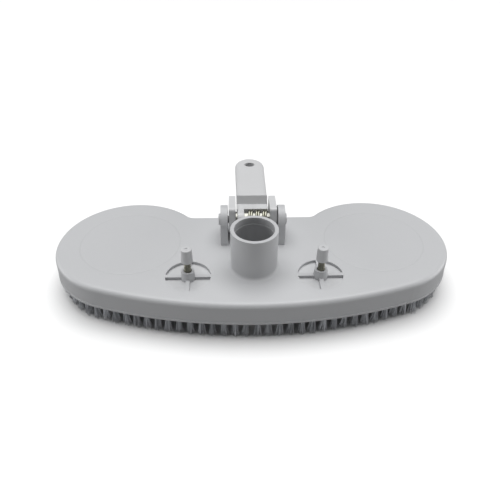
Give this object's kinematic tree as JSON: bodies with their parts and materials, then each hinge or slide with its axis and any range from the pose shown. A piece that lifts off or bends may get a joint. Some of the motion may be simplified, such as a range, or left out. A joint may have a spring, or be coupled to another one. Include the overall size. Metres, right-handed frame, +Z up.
{
  "type": "pool vacuum head",
  "caption": "Butterfly-shaped pool vacuum head with a perimeter brush, an upright hose port, sprung relief valves and a hinged pole handle.",
  "frame": {"origin": "centre of the bounding box, on the plane of the bristle tips", "axes": "+X along the head's width, +Y back towards the handle's free end, +Z up along the hose port"},
  "size_m": [0.3378, 0.2027, 0.0722],
  "materials": {
    "body_plastic": "satin moulded ABS, cool light grey",
    "cover_plastic": "satin moulded ABS, cool grey",
    "handle_plastic": "satin moulded ABS, light grey",
    "valve_plastic": "satin moulded polypropylene, light grey",
    "strip_plastic": "matte moulded polypropylene, mid grey",
    "bristle_nylon": "dark grey nylon filament",
    "hinge_plastic": "satin moulded acetal, grey",
    "ballast_iron": "coated cast iron",
    "stainless": "stainless steel",
    "spring_steel": "bright stainless spring wire"
  },
  "bodies": {
    "head": {"head_shell": "body_plastic", "hinge_pin": "hinge_plastic", "pin_cap": "hinge_plastic", "hinge_washer_left": "stainless", "hinge_washer_right": "stainless", "spring_sleeve": "stainless", "brush_strip_front": "strip_plastic", "brush_strip_rear": "strip_plastic", "brush_strip_left": "strip_plastic", "brush_strip_right": "strip_plastic", "bristles_front": "bristle_nylon", "bristles_rear": "bristle_nylon", "bristles_left": "bristle_nylon", "bristles_right": "bristle_nylon", "ballast_weight_left": "ballast_iron", "ballast_weight_right": "ballast_iron", "ballast_cover_left": "cover_plastic", "ballast_cover_right": "cover_plastic", "ballast_screw_left": "stainless", "ballast_screw_right": "stainless", "valve_spring_left": "spring_steel", "valve_spring_right": "spring_steel"},
    "handle": {"pole_yoke": "handle_plastic", "lever_spring": "spring_steel"},
    "lever": {"clip_lever": "handle_plastic"},
    "valve_left": {"valve_disc_left": "valve_plastic", "valve_stem_left": "stainless", "valve_knob_left": "valve_plastic"},
    "valve_right": {"valve_disc_right": "valve_plastic", "valve_stem_right": "stainless", "valve_knob_right": "valve_plastic"}
  },
  "joints": [
    {"name": "handle_hinge", "type": "hinge", "parent": "head", "child": "handle", "pos_m": [0, -0.01256, 0.055], "axis": [1, 0, 0], "range_deg": [0, 112]},
    {"name": "lever_press", "type": "hinge", "parent": "handle", "child": "lever", "pos_m": [0, -0.01256, 0.055], "axis": [1, 0, 0], "range_deg": [-3, 0], "stiffness_Nm_per_rad": 2.3, "springref_deg": 8.59},
    {"name": "valve_left_slide", "type": "slide", "parent": "head", "child": "valve_left", "axis": [0, 0, -1], "range_m": [0, 0.005], "stiffness_N_per_m": 450, "springref_m": -0.006, "deforming": ["valve_spring_left"]},
    {"name": "valve_right_slide", "type": "slide", "parent": "head", "child": "valve_right", "axis": [0, 0, -1], "range_m": [0, 0.005], "stiffness_N_per_m": 450, "springref_m": -0.006, "deforming": ["valve_spring_right"]}
  ]
}
